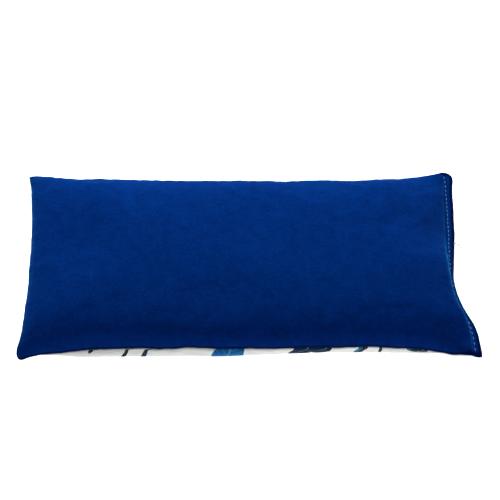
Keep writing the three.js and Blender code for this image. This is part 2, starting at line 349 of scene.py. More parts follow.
def crown_rise(s, t):
    """How far the top has risen: 0 at the seams and 1 over the middle."""
    left_in, lip_in, side_in = inward(s, t)
    lip_power = mix(CROWN_POWER["lip"], CROWN_POWER["hanging lip"], hanging(t))
    from_left = curve_in(left_in, CROWN_REACH, CROWN_POWER["left"])
    from_lip = curve_in(lip_in, LIP_REACH, lip_power)
    return from_left * from_lip * curve_in(side_in, CROWN_REACH, CROWN_POWER["side"])


def front_base(s, t):
    """The smooth top of the bag."""
    point = off_seam(s, t, GAP / 2 + edge_height(s, FRONT_CLOTH))
    point[..., 2] = mix(point[..., 2], HEIGHT, crown_rise(s, t))
    return point


def go_under(distance, bulge, half_size):
    """The share of the way down that the back cloth has gone, and the share in from the seam."""
    start = np.radians(bulge)
    angle = mix(-start, np.pi / 2, np.clip(distance / UNDER_REACH, 0, 1))
    flat = np.maximum(distance - UNDER_REACH, 0) / (half_size - UNDER_REACH)
    curved = UNDER_CURVE * (np.cos(start) - np.cos(angle))
    spread = flat * (half_size - UNDER_CURVE * np.cos(start))
    drop = (np.sin(start) + np.sin(angle)) / (1 + np.sin(start))
    return drop, (curved + spread) / half_size


def back_base(s, t):
    """The smooth underside of the bag, flat where it lies on the table."""
    left_in, lip_in, side_in = inward(s, t)
    left_bulge = BULGE["left"] * arch(t, BULGE_POWER["left"])
    near_bulge = mix(BULGE["near"], BULGE["near right"], smooth(s, *BULGE_SHRINKS))
    near_bulge = near_bulge * smooth(s, *BULGE_GROWS)
    side_bulge = np.where(t < 0, near_bulge, BULGE["far"]) * arch(s, BULGE_POWER["side"])
    left_drop, left_share = go_under(left_in, left_bulge, HALF_LENGTH)
    side_drop, side_share = go_under(side_in, side_bulge, HALF_WIDTH)
    lip_drop = curve_in(lip_in, UNDER_REACH, UNDER_LIP_POWER)
    moved_s = np.where(s < 0, left_share - 1, s)
    moved_t = np.sign(t) * (1 - side_share)
    edge = off_seam(s, t, -GAP / 2 - edge_height(s, BACK_CLOTH))
    on_lip = smooth(s, UNDER_TURN_S, LIP_S)[..., None]
    under = np.stack([*plan(moved_s, moved_t), edge[..., 2]], -1)
    point = mix(under, edge, on_lip)
    point[..., 2] = point[..., 2] * (1 - left_drop * side_drop * lip_drop)
    return point


# ---- Grids over s and t ----
def ticks(cells):
    """Bunched towards both ends, where the cloth curves most."""
    even = np.linspace(-1, 1, cells + 1)
    return mix(even, np.sin(even * np.pi / 2), BUNCHING)


def lip_ticks(cells):
    """Ticks along s, with the lip's share of the cells spaced evenly over it."""
    on_lip = round(cells * LIP_CELLS)
    body = (ticks(cells - on_lip) + 1) / 2 * (LIP_S + 1) - 1
    return np.concatenate([body, np.linspace(LIP_S, 1, on_lip + 1)[1:]])


def grid(along, across):
    """Two arrays, of every point's s and t."""
    return np.meshgrid(along, across, indexing="ij")


def ring(shape):
    """The rows and the columns of the grid points round the edge, anticlockwise from near left."""
    rows, columns = shape
    near = [(i, 0) for i in range(rows - 1)]
    right = [(rows - 1, j) for j in range(columns - 1)]
    far = [(i, columns - 1) for i in range(rows - 1, 0, -1)]
    left = [(0, j) for j in range(columns - 1, 0, -1)]
    return tuple(np.array(near + right + far + left).T)


def grid_faces(index, up):
    """Quads between neighbours in a grid of vertex numbers, facing up or down."""
    corners = [index[:-1, :-1], index[1:, :-1], index[1:, 1:], index[:-1, 1:]]
    quads = np.stack(corners if up else corners[::-1], -1)
    return quads.reshape(-1, 4)


def placed(name, data):
    """A new object in the scene."""
    made = bpy.data.objects.new(name, data)
    bpy.context.scene.collection.objects.link(made)
    return made


def make_mesh(name, points, faces, flat=None, from_seam=None):
    """A smooth mesh object. flat is each point's place on the cloth, in metres."""
    mesh = bpy.data.meshes.new(name)
    mesh.from_pydata(points.tolist(), [], faces)
    if flat is not None:
        layer = mesh.uv_layers.new(name="cloth")
        vertex = np.empty(len(mesh.loops), dtype=np.int32)
        mesh.loops.foreach_get("vertex_index", vertex)
        layer.data.foreach_set("uv", flat[vertex].astype(np.float32).ravel())
    if from_seam is not None:
        layer = mesh.attributes.new("from_seam", "FLOAT", "POINT")
        layer.data.foreach_set("value", from_seam.astype(np.float32))
    mesh.shade_smooth()
    mesh.validate()
    return placed(name, mesh)


def cut_corners(quads, corners):
    """The faces, with each corner cell cut in two from its corner, so that no two cuts meet."""
    faces = []
    for quad in quads.tolist():
        place = [number for number, vertex in enumerate(quad) if vertex in corners]
        if place:
            first, second, third, fourth = quad[place[0]:] + quad[:place[0]]
            faces += [[first, second, third], [first, third, fourth]]
        else:
            faces.append(quad)
    return faces


def two_sided(name, top, bottom):
    """Two grids joined round the edge, and the vertex numbers of each."""
    top_index = np.arange(top[..., 0].size).reshape(top.shape[:2])
    bottom_index = top_index.copy()
    inner = bottom_index[1:-1, 1:-1]
    inner[:] = top_index.size + np.arange(inner.size).reshape(inner.shape)
    points = np.concatenate([top.reshape(-1, 3), bottom[1:-1, 1:-1].reshape(-1, 3)])
    edge = ring(top_index.shape)
    points[top_index[edge]] = (top[edge] + bottom[edge]) / 2
    quads = np.concatenate([grid_faces(top_index, True), grid_faces(bottom_index, False)])
    corners = top_index[[0, 0, -1, -1], [0, -1, 0, -1]].tolist()
    return make_mesh(name, points, cut_corners(quads, corners)), top_index, bottom_index


# ---- Wrinkles from a cloth simulation ----
ROUGH_S = lip_ticks(ROUGH_CELLS[0])
ROUGH_T = ticks(ROUGH_CELLS[1])


def rough_bag():
    """The bag to simulate, and the vertex numbers of its top and its underside."""
    s, t = grid(ROUGH_S, ROUGH_T)
    return two_sided("rough_bag", front_base(s, t), back_base(s, t))


def blurred(field, reach):
    """The field averaged over this many cells each way."""
    weights = np.exp(-0.5 * (np.arange(-2 * reach, 2 * reach + 1) / reach) ** 2)
    weights /= weights.sum()
    for axis in (0, 1):
        padding = [(0, 0)] * field.ndim
        padding[axis] = (2 * reach, 2 * reach)
        wide = np.pad(field, padding, mode="edge")
        moved = np.moveaxis(wide, axis, 0)
        total = sum(w * moved[k : k + field.shape[axis]] for k, w in enumerate(weights))
        field = np.moveaxis(total, 0, axis)
    return field


def inflate():
    """How far each panel's cloth wrinkles, without the swelling that the seed would stop."""
    bag, front_index, back_index = rough_bag()
    before = np.array([v.co for v in bag.data.vertices])
    held = bag.vertex_groups.new(name="held")
    edge = ring(front_index.shape)
    fixed = set(front_index[edge].tolist())
    on_lip = ROUGH_S > LIP_S - TINY
    for index in (front_index, back_index):
        fixed |= set(index[on_lip].ravel().tolist())
    held.add(sorted(fixed), 1, "REPLACE")

    cloth = bag.modifiers.new("cloth", "CLOTH")
    for name, value in CLOTH.items():
        setattr(cloth.settings, name, value)
    cloth.settings.vertex_group_mass = "held"
    cloth.settings.effector_weights.gravity = 0
    cloth.collision_settings.use_collision = False
    cloth.point_cache.frame_start = 1
    cloth.point_cache.frame_end = FRAMES
    for number in range(1, FRAMES + 1):
        bpy.context.scene.frame_set(number)
    result = bag.evaluated_get(bpy.context.evaluated_depsgraph_get())
    after = np.array([v.co for v in result.data.vertices])
    bpy.context.scene.frame_set(1)
    bpy.data.objects.remove(bag)

    narrow, wide = WRINKLE_CELLS
    fields = []
    for index in (front_index, back_index):
        moved = (after - before)[index]
        field = blurred(moved, narrow) - blurred(moved, wide)
        size = np.linalg.norm(field, axis=-1, keepdims=True) + TINY
        fields.append(field / size * np.tanh(size / WRINKLE_CAP) * WRINKLE_CAP)
    return fields


def sampled(field, s, t):
    """The field at any s and t, by cubic interpolation between the rough bag's points."""
    if field is None:
        return np.zeros(s.shape + (3,))
    value = field
    row = np.interp(s[:, 0], ROUGH_S, np.arange(len(ROUGH_S)))
    column = np.interp(t[0], ROUGH_T, np.arange(len(ROUGH_T)))
    for axis, place in ((0, row), (1, column)):
        value = np.moveaxis(value, axis, 0)
        last = len(value) - 1
        start = np.clip(np.floor(place).astype(int), 0, last - 1)
        share = (place - start).reshape((-1,) + (1,) * (value.ndim - 1))
        a, b, c, d = (value[np.clip(start + k, 0, last)] for k in (-1, 0, 1, 2))
        bend = a - 2.5 * b + 2 * c - d / 2 + share * (1.5 * (b - c) + (d - a) / 2)
        value = b + share * ((c - a) / 2 + share * bend)
        value = np.moveaxis(value, 0, axis)
    return value


front_wrinkles, back_wrinkles = inflate()


# ---- The finished surfaces ----
def wander(place, along):
    """How far the seam here is off its smooth line."""
    seed, wavelength, distance = WANDERS[place]
    return waver(along, seed, wavelength * MM) * distance * MM


def seam_line(s, t, flared=True):
    """How the seam itself wanders: the same on both cloths, and only close to it."""
    x, y = s * HALF_LENGTH, t * HALF_WIDTH
    close_side = np.exp(-((inward(s, t)[2] / SEAM_REACH) ** 2))
    close_end = np.exp(-(((1 - np.abs(s)) * HALF_LENGTH / SEAM_REACH) ** 2))
    side = np.where(t < 0, wander("near", x), wander("far", x))
    end = np.where(s < 0, wander("left", y), wander("lip", y))
    lift = np.where(t < 0, wander("near height", x), wander("far height", x))
    shift = np.zeros(s.shape + (3,))
    shift[..., 0] = end * close_end
    shift[..., 1] = side * close_side
    shift[..., 2] = lift * close_side * arch(s, LEVEL_POWER)
    for leaning, at, reach, out, up in SEAM_LEANS:
        share = close_side * np.exp(-(((x / MM - at) / reach) ** 2)) * (t * leaning > 0)
        shift[..., 1] += leaning * out * MM * share
        shift[..., 2] += up * MM * share
    return shift + sum(corner(s, t, *values, flared) for values in CORNERS)


def corner(s, t, end, side, radius, flare, flared):
    """The shift that rounds a corner, by bending the square next to it into a quarter circle."""
    end_in, side_in = (1 - s * end) * HALF_LENGTH / MM, (1 - t * side) * HALF_WIDTH / MM
    u, v = np.clip(1 - end_in / radius, 0, 1), np.clip(1 - side_in / radius, 0, 1)
    out = flared * np.exp(-((end_in**2 + side_in**2) / FLARE_REACH**2))
    shift = np.zeros(s.shape + (3,))
    shift[..., 0] = end * (flare[0] * out + radius * u * (np.sqrt(1 - v**2 / 2) - 1))
    shift[..., 1] = side * (flare[1] * out + radius * v * (np.sqrt(1 - u**2 / 2) - 1))
    return shift * MM


def puckers(s, t, seed):
    """Short folds that run in from the seams, where the cloth is gathered by the stitching."""
    left_in, lip_in, side_in = inward(s, t)
    x, y = s * HALF_LENGTH, t * HALF_WIDTH

    def folds(along, number, depth):
        ridges = 1 - np.abs(waver(along, seed + number, PUCKER_SPACING)) * PUCKER_DIP
        rise = depth / PUCKER_RISE * np.exp(1 - depth / PUCKER_RISE - depth / PUCKER_FADE)
        return PUCKER_HEIGHT * ridges * rise

    side = folds(x, 1, side_in) * np.where(t < 0, NEAR_PUCKERS, 1)
    return side + folds(y, 2, left_in) + folds(y, 3, lip_in)


def stitch_inset(t):
    """Distance of the topstitching from the lip's outer edge."""
    return STITCH_INSET + STITCH_DRIFT * smooth(t, DRIFT_FROM, 1)


def topstitch_dent(s, t):
    """The stitches press the lip in along their line, and most of all where they go through."""
    from_outside = (1 - s) * HALF_LENGTH
    across = np.exp(-(((from_outside - stitch_inset(t)) / DENT["reach"]) ** 2))
    swing = DENT["ease"] / 2 * (np.cos(2 * np.pi * t * HALF_WIDTH / STITCH) - 1)
    near_lip = (s > LIP_TURN_S) * smooth(1 - np.abs(t), 0, DENT["from_corner"])
    return DENT["depth"] * across * (1 + swing) * near_lip


def overhang(s, t):
    """The end of the filled bag swells out over the lip where that hangs down."""
    depth = inward(s, t)[1] / SWELL_REACH
    swell = depth * np.exp(1 - depth) * np.sin(lip_angle(t)) ** 2
    return swell[..., None] * SWELL_SHIFT


def front_outside(s, t):
    """The outer face of the top cloth."""
    point = front_base(s, t) + sampled(front_wrinkles, s, t) + seam_line(s, t) + overhang(s, t)
    x, y = point[..., 0], point[..., 1]
    inside = smooth(np.minimum.reduce(inward(s, t)), *LUMP_EDGE)
    sunk = sum(
        depth * MM * np.exp(-(((x / MM - at_x) ** 2 + (y / MM - at_y) ** 2) / radius**2))
        for at_x, at_y, radius, depth in HOLLOWS
    )
    lumps = LUMPS["height"] * relief(x, y, 23, LUMPS["spacing"])
    point[..., 2] += inside * (lumps - sunk) + puckers(s, t, seed=31)
    dent = topstitch_dent(s, t)
    angle = lip_angle(t)
    point[..., 0] -= dent * np.sin(angle)
    point[..., 2] -= dent * np.cos(angle)
    return point


def back_outside(s, t):
    """The outer face of the underside's cloth."""
    point = back_base(s, t) + sampled(back_wrinkles, s, t) + seam_line(s, t, flared=False)
    x, y = point[..., 0], point[..., 1]
    creases = CREASES["height"] * np.maximum(relief(x, y, 41, CREASES["spacing"]), 0)
    inside = smooth(np.minimum.reduce(inward(s, t)), *CREASE_EDGE)
    point[..., 2] += inside * creases - puckers(s, t, seed=47)
    point[..., 2] = np.maximum(point[..., 2], CLEAR)
    return point


def normals(point, up):
    """Unit normals of a grid of points."""
    normal = np.cross(np.gradient(point, axis=0), np.gradient(point, axis=1))
    normal /= np.linalg.norm(normal, axis=-1, keepdims=True)
    return normal if up else -normal


# ---- Cloth panels ----
def with_steep(lines, ends):
    """The lines, and more of them at these places."""
    return np.unique(np.concatenate([lines, ends]))


FINE_S = lip_ticks(FINE_CELLS[0])
FINE_T = ticks(FINE_CELLS[1])
NEAR_SIDE = STEEP_SIDES / HALF_WIDTH - 1
FRONT_S = with_steep(FINE_S, STEEP_LEFT / HALF_LENGTH - 1)
FRONT_T = with_steep(FINE_T, np.concatenate([NEAR_SIDE, -NEAR_SIDE]))


def drawn_in(s, t, inset, right=None):
    """s and t moved in from the edges by this distance."""
    right = inset if right is None else right
    start, end = -1 + inset / HALF_LENGTH, 1 - right / HALF_LENGTH
    return mix(start, end, (s + 1) / 2), t * (1 - inset / HALF_WIDTH)


def hem_loop(s, t, inset, height):
    """A loop round the turned-in allowance, this far in from the seam and off its surface."""
    inner_s, inner_t = drawn_in(s, t, inset)
    return off_seam(inner_s, inner_t, height) + seam_line(s, t, height > 0) * (1 - inset / ALLOWANCE)


def seam_distance(points):
    """Distance over the cloth from the nearest seam."""
    reach = []
    for axis in (0, 1):
        step = np.linalg.norm(np.diff(points, axis=axis), axis=-1)
        there = np.insert(np.cumsum(step, axis=axis), 0, 0, axis=axis)
        reach += [there, np.take(there, [-1], axis=axis) - there]
    return np.minimum.reduce(reach)


def turned_in(s, t, cloth, side):
    """The loops that carry a cloth from its outer face round its allowance."""
    low, high = side * GAP / 2, side * (GAP / 2 + cloth)
    return [
        hem_loop(s, t, FOLD, low),
        hem_loop(s, t, ALLOWANCE, low),
        hem_loop(s, t, ALLOWANCE, high),
        hem_loop(s, t, ALLOWANCE / 2, high),
    ]


def strips(rows, up):
    """Quads between neighbouring closed loops of vertex numbers."""
    faces = []
    for first, second in zip(rows, rows[1:]):
        quads = [first, second, np.roll(second, -1), np.roll(first, -1)]
        faces.append(np.stack(quads if up else quads[::-1], -1))
    return faces


def panel(name, lines, outside, cloth, up):
    """A closed cloth: its outer face, the fold at the seam, the allowance and its inner face."""
    side = 1 if up else -1
    s, t = grid(*lines)
    outer = outside(s, t)
    body_s = mix(-1, LIP_S, (s + 1) / 2)
    body = outside(body_s, t)
    inner = body - normals(body, up) * cloth
    edge = ring(s.shape)
    loops = turned_in(s[edge], t[edge], cloth, side)
    crease = drawn_in(s[edge], t[edge], cloth, LIP + cloth)
    inner[edge] = off_seam(*crease, side * (GAP / 2 + cloth))

    count = s.size
    outer_index = np.arange(count).reshape(s.shape)
    inner_index = outer_index + count
    loop_index = 2 * count + np.arange(len(loops) * len(edge[0])).reshape(len(loops), -1)
    rows = [outer_index[edge], *loop_index, inner_index[edge]]
    faces = [grid_faces(outer_index, up), grid_faces(inner_index, not up), *strips(rows, up)]
    points = np.concatenate([outer.reshape(-1, 3), inner.reshape(-1, 3), *loops])
    along = np.broadcast_to(outer[:, :1, 0], s.shape)
    flat = np.stack([along, t * HALF_WIDTH], -1)
    everywhere = np.concatenate([flat.reshape(-1, 2)] * 2 + [flat[edge]] * len(loops))
    from_seam = np.concatenate([seam_distance(outer).ravel()] * 2 + [np.zeros(loop_index.size)])
    return make_mesh(name, points, np.concatenate(faces).tolist(), everywhere, from_seam)


# ---- Seed ----
def seed_heap():
    """The loose seed as one heap, which fills the bag up to its cloths and its allowance."""
    s, t = grid(ticks(SEED_CELLS[0]), ticks(SEED_CELLS[1]))
    rim = np.minimum((1 - np.abs(s)) * HALF_LENGTH, (1 - np.abs(t)) * HALF_WIDTH)
    fullness = curve_in(rim, HEAP_ROUND, 2)[..., None]
    inner_s, inner_t = drawn_in(s, t, ALLOWANCE + 2 * THREAD, LIP + ALLOWANCE + 2 * THREAD)
    top = front_outside(inner_s, inner_t)
    top -= normals(top, True) * (FRONT_CLOTH + GAP)
    bottom = back_outside(inner_s, inner_t)
    bottom -= normals(bottom, False) * (BACK_CLOTH + GAP)
    middle = (top + bottom) / 2
    lumps = HEAP_LUMPS["height"] * relief(top[..., 0], top[..., 1], 53, HEAP_LUMPS["spacing"])
    top = mix(middle, top, fullness)
    top[..., 2] -= (HEAP_GAP + lumps) * fullness[..., 0]
    return two_sided("seed_heap", top, mix(middle, bottom, fullness))[0]


# ---- Threads ----
def tube(name, path):
    """A thread along a path, closed, with its length and its way round as cloth coordinates."""
    radius = THREAD / 2
    forward = np.gradient(path, axis=0)
    forward /= np.linalg.norm(forward, axis=1, keepdims=True)
    across = np.cross(forward[0], (0, 0, 1))
    across /= np.linalg.norm(across)
    turns = np.linspace(0, 2 * np.pi, TUBE_SIDES, endpoint=False)
    length = np.concatenate([[0], np.cumsum(np.linalg.norm(np.diff(path, axis=0), axis=1))])
    points, flat = [], []
    for k, point in enumerate(path):
        across = across - forward[k] * (across @ forward[k])
        across /= np.linalg.norm(across)
        other = np.cross(forward[k], across)
        for turn in turns:
            points.append(point + radius * (across * math.cos(turn) + other * math.sin(turn)))
            flat.append((length[k], turn * radius))
    index = np.arange(len(points)).reshape(len(path), TUBE_SIDES)
    around = np.roll(index, -1, axis=1)
    quads = np.stack([index[:-1], around[:-1], around[1:], index[1:]], -1).reshape(-1, 4)
    faces = quads.tolist() + [index[0][::-1].tolist(), index[-1].tolist()]
    return make_mesh(name, np.array(points), faces, np.array(flat))


def closing_path(outside, up):
    """The topstitching's thread: it lies on the lip, and dips through it at every stitch."""
    half = round(STITCHED * HALF_WIDTH / STITCH)
    t = np.linspace(-half, half, 2 * half * STITCH_POINTS + 1) * STITCH / HALF_WIDTH
    beside = 0.01 * MM
    along, t_pair = grid(np.array([beside, 0]), t)
    lines = outside(1 - (stitch_inset(t_pair) + along) / HALF_LENGTH, t_pair)
    normal = normals(lines, up)[1]
    from_hole = np.abs((t * HALF_WIDTH / STITCH + 0.5) % 1 - 0.5)
    height = STITCH_LIES - STITCH_DIPS * np.exp(-((from_hole / DIP_SHARE) ** DIP_POWER))
    path = lines[1] + normal * height[:, None]
    path[:, 0] += THREAD_WANDER * waver(t * HALF_WIDTH, 61, WANDER_LENGTH)
    return path


def inside_path(height):
    """The hidden seam's thread on the allowance, round three sides."""
    turn_s, turn_t = 1 - SEAM_CORNER / HALF_LENGTH, 1 - SEAM_CORNER / HALF_WIDTH
    start = 1 - 2 * LIP / HALF_LENGTH
    side = np.linspace(start, -turn_s, SIDE_POINTS)
    end = np.linspace(turn_t, -turn_t, END_POINTS)
    s = np.concatenate([side, np.full(end.shape, -1.0), side[::-1]])
    t = np.concatenate([np.ones(side.shape), end, -np.ones(side.shape)])
    path = off_seam(*drawn_in(s, t, SEAM_INSET, 0), height)
    for _ in range(ROUNDINGS):
        path[1:-1] = (path[:-2] + 2 * path[1:-1] + path[2:]) / 4
    return path


def tail_path():
    """The cut end of the closing thread, which comes out of the lip and droops."""
    low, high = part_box("thread_tail")
    share = np.linspace(0, 1, TAIL_POINTS)
    path = np.empty((len(share), 3))
    path[:, 0] = mix(low.x, high.x, share)
    path[:, 1] = mix(high.y, low.y, share**3) + THREAD_WANDER * np.sin(TAIL_WAVE * share)
    path[:, 2] = mix(high.z, low.z, share**2)
    return path


# ---- Shader helpers ----
class Nodes:
    """Adds nodes to a tree. An input is a number, a colour or another node's output."""

    def __init__(self, tree):
        self.tree = tree

    def add(self, kind, inputs, **settings):
        made = self.tree.nodes.new(kind)
        for name, value in settings.items():
            setattr(made, name, value)
        for name, value in inputs.items():
            if isinstance(value, bpy.types.NodeSocket):
                self.tree.links.new(value, made.inputs[name])
            else:
                made.inputs[name].default_value = value
        return made

    def math(self, operation, *values, clamp=False):
        inputs = dict(enumerate(values))
        return self.add("ShaderNodeMath", inputs, operation=operation, use_clamp=clamp).outputs[0]

    def total(self, *parts):
        """The sum of these values, each times its weight."""
        added = 0
        for value, weight in parts:
            added = self.math("MULTIPLY_ADD", value, weight, added)
        return added

    def vector_math(self, operation, first, second):
        inputs = {0: first, 1: second}
        return self.add("ShaderNodeVectorMath", inputs, operation=operation).outputs[0]

    def noise(self, vector, scale, detail=3, roughness=0.55):
        inputs = {"Vector": vector, "Scale": scale, "Detail": detail, "Roughness": roughness}
        return self.add("ShaderNodeTexNoise", inputs).outputs[0]

    def step(self, value, low, high):
        """0 at low and beyond it, and 1 at high and beyond."""
        inputs = {"Value": value, "From Min": low, "From Max": high}
        made = self.add("ShaderNodeMapRange", inputs, interpolation_type="SMOOTHSTEP")
        return made.outputs[0]

    def blend(self, share, first, second, blend_type="MIX"):
        inputs = {0: share, 6: first, 7: second}
        made = self.add("ShaderNodeMix", inputs, data_type="RGBA", blend_type=blend_type)
        return made.outputs[2]

    def bump(self, height, distance):
        return self.add("ShaderNodeBump", {"Height": height, "Distance": distance}).outputs[0]

    def cloth(self):
        """A point's place on the flat cloth, in metres."""
        return self.add("ShaderNodeUVMap", {}, uv_map="cloth").outputs[0]


def material(name):
    """A new material, and its empty node tree."""
    made = bpy.data.materials.new(name)
    made.use_nodes = True
    tree = made.node_tree
    tree.nodes.clear()
    return made, Nodes(tree)


def surface(nodes, inputs):
    """Ends a material in one shader with these inputs."""
    shader = nodes.add("ShaderNodeBsdfPrincipled", inputs)
    nodes.add("ShaderNodeOutputMaterial", {"Surface": shader.outputs[0]})


# ---- Materials ----
# The scale of a noise is in lumps per metre.
DEEP_BLUE = (0.0002, 0.0108, 0.092, 1)
SOFT_BLUE = (0.0005, 0.0210, 0.170, 1)
# Painted shade: the nap's colour is darkened where the cloth rolls over at a seam, in place of the
# shade in the fold.
PAINTED_EDGE_SHADE = (0.14, 0.18, 0.3, 1)
PAINTED_SHADE_REACH = (3.2 * MM, 1.3 * MM)  # how near the seam that starts, and where it is whole


def brushed_knit():
    """Soft blue nap: streaky and mottled, with a sheen, and with shade painted into its colour at
    its rolled edges.
    """
    made, nodes = material("brushed_knit")
    cloth = nodes.cloth()
    streaks = nodes.noise(nodes.vector_math("MULTIPLY", cloth, (160, 900, 1)), 1, 4)
    mottle = nodes.noise(cloth, 520, 5, 0.7)
    cloudy = nodes.noise(cloth, 150, 2)
    nap = nodes.noise(cloth, 1900, 3, 0.7)
    tone = nodes.total((streaks, 0.2), (mottle, 0.5), (cloudy, 0.28), (nap, 0.12))
    colour = nodes.blend(nodes.step(tone, 0.32, 0.79), DEEP_BLUE, SOFT_BLUE)
    from_seam = nodes.add("ShaderNodeAttribute", {}, attribute_name="from_seam").outputs["Fac"]
    # Painted shade: the colour is darkened near each seam, where the rolled cloth lies in shade.
    painted_edge_shade = nodes.step(from_seam, *PAINTED_SHADE_REACH)
    colour = nodes.blend(painted_edge_shade, colour, PAINTED_EDGE_SHADE, "MULTIPLY")
    height = nodes.total((mottle, 0.7), (nap, 1))
    surface(nodes, {
        "Base Color": colour,
        "Roughness": 0.95,
        "Specular IOR Level": 0.01,
        "Specular Tint": (0.05, 0.3, 1, 1),
        "Sheen Weight": 0.75,
        "Sheen Roughness": 0.2,
        "Sheen Tint": (0.001, 0.24, 0.8, 1),
        "Normal": nodes.bump(height, 0.22 * MM),
    })
    return made


INK_NAVY = (0.002, 0.014, 0.045, 1)
INK_BLUE = (0.001, 0.1, 0.3, 1)
INK_TEAL = (0.004, 0.10, 0.20, 1)
INK_BLACK = (0.003, 0.006, 0.012, 1)
BARE_COTTON = (0.95, 0.95, 0.94, 1)
VEIN_COLOUR = (0.3, 0.5, 0.62, 1)
VEIN_SHARE = 0.35  # how much of the veins' colour shows
# Painted shade: the colour between the yarns is darkened, where shade falls between them.
PAINTED_GAP_SHADE = (0.5, 0.55, 0.6, 1)  # between the yarns
GAP_SHARE = 0.18

# A leaf's shape, in shares of its half width or half length.
LEAF_BEND = 0.35
LEAF_EDGE = 0.06  # its ink ends over this much
LEAF_RIBS = 7  # in half its length
RIB_LEAN = -2.2
RIB_WIDTH = (0.02, 0.09)
RIB_SHARE = 0.45  # how clear its ribs are, against its middle vein
MIDDLE_WIDTH = (0.03, 0.08)


def leaf_group():
    """A leaf on the cloth: how much ink there is, and how much of that its veins leave bare."""
    tree = bpy.data.node_groups.new("leaf", "ShaderNodeTree")
    sockets = tree.interface
    sockets.new_socket("Cloth", in_out="INPUT", socket_type="NodeSocketVector")
    for name in ("X", "Y", "Angle", "Length", "Width"):
        sockets.new_socket(name, in_out="INPUT", socket_type="NodeSocketFloat")
    for name in ("Ink", "Vein"):
        sockets.new_socket(name, in_out="OUTPUT", socket_type="NodeSocketFloat")
    nodes = Nodes(tree)
    given = nodes.add("NodeGroupInput", {}).outputs
    place = nodes.add("ShaderNodeCombineXYZ", {0: given["X"], 1: given["Y"]}).outputs[0]
    turned = nodes.add(
        "ShaderNodeVectorRotate",
        {"Vector": nodes.vector_math("SUBTRACT", given["Cloth"], place), "Angle": given["Angle"]},
        rotation_type="Z_AXIS",
    )
    parts = nodes.add("ShaderNodeSeparateXYZ", {0: turned.outputs[0]}).outputs
    along = nodes.math("DIVIDE", parts[0], given["Length"])
    rest = nodes.math("SUBTRACT", 1, nodes.math("MULTIPLY", along, along), clamp=True)
    bend = nodes.math("MULTIPLY", nodes.math("MULTIPLY", rest, given["Width"]), LEAF_BEND)
    across = nodes.math("ABSOLUTE", nodes.math("SUBTRACT", parts[1], bend))
    spread = nodes.math("DIVIDE", across, given["Width"])
    ink = nodes.step(nodes.math("SUBTRACT", rest, spread), 0, LEAF_EDGE)
    ribs = nodes.total((along, LEAF_RIBS), (spread, RIB_LEAN))
    rib = nodes.math("ABSOLUTE", nodes.math("SUBTRACT", nodes.math("FRACT", ribs), 0.5))
    side_vein = nodes.math("SUBTRACT", 1, nodes.step(rib, *RIB_WIDTH), clamp=True)
    mid_vein = nodes.math("SUBTRACT", 1, nodes.step(spread, *MIDDLE_WIDTH), clamp=True)
    vein = nodes.math("MAXIMUM", nodes.math("MULTIPLY", side_vein, RIB_SHARE), mid_vein)
    nodes.add("NodeGroupOutput", {"Ink": ink, "Vein": vein})
    return tree


# The print where it shows under the near seam: x, distance in from the seam, degrees that it
# leans from the pillow's length towards the seam, half length, half width, and ink. Its lengths
# are in millimetres.
EDGE_PRINT = [
    (-76.5, 0, 80, 2.6, 1.2, INK_BLACK),
    (-60, 5, 69, 12, 1.1, INK_BLACK),
    (-50, 5, 72, 11, 1.2, INK_NAVY),
    (-10.5, 5, 72, 22, 8.2, INK_BLUE),
    (29.5, 0.5, 30, 8.2, 4.4, INK_NAVY),
    (39, 0, 24, 7, 3.6, INK_NAVY),
    (58, 2.5, 60, 6, 2.2, INK_TEAL),
    (60.5, 1, 58, 5, 1.3, INK_BLACK),
    (68.9, 1, 88, 5, 0.8, INK_BLACK),
    (88, -0.5, 2, 6, 2.4, INK_NAVY),
]

# The rest of the print: its columns and rows and, in millimetres, where they start and end and how
# far a leaf strays from them.
PRINT_GRID = (9, 3)
PRINT_X = (-100, 100)
PRINT_DEPTH = (30, 98)
PRINT_STRAY = 5


def scattered_leaves():
    """Sprays of leaves over the underside, clear of those at the near edge."""
    rng = np.random.default_rng(71)
    inks = [INK_BLUE, INK_TEAL, INK_NAVY, INK_BLACK]
    columns, rows = PRINT_GRID
    leaves = []
    for column in range(columns):
        for row in range(rows):
            stagger = 0.5 * (row % 2)
            x = mix(*PRINT_X, (column + stagger) / (columns - 0.5))
            x += rng.uniform(-1, 1) * PRINT_STRAY
            depth = mix(*PRINT_DEPTH, row / (rows - 1)) + rng.uniform(-1, 1) * PRINT_STRAY
            angle = rng.uniform(15, 165)
            length = rng.uniform(12, 19)
            width = length * rng.uniform(0.16, 0.4)
            leaves.append((x, depth, angle, length, width, inks[rng.integers(len(inks))]))
    return leaves


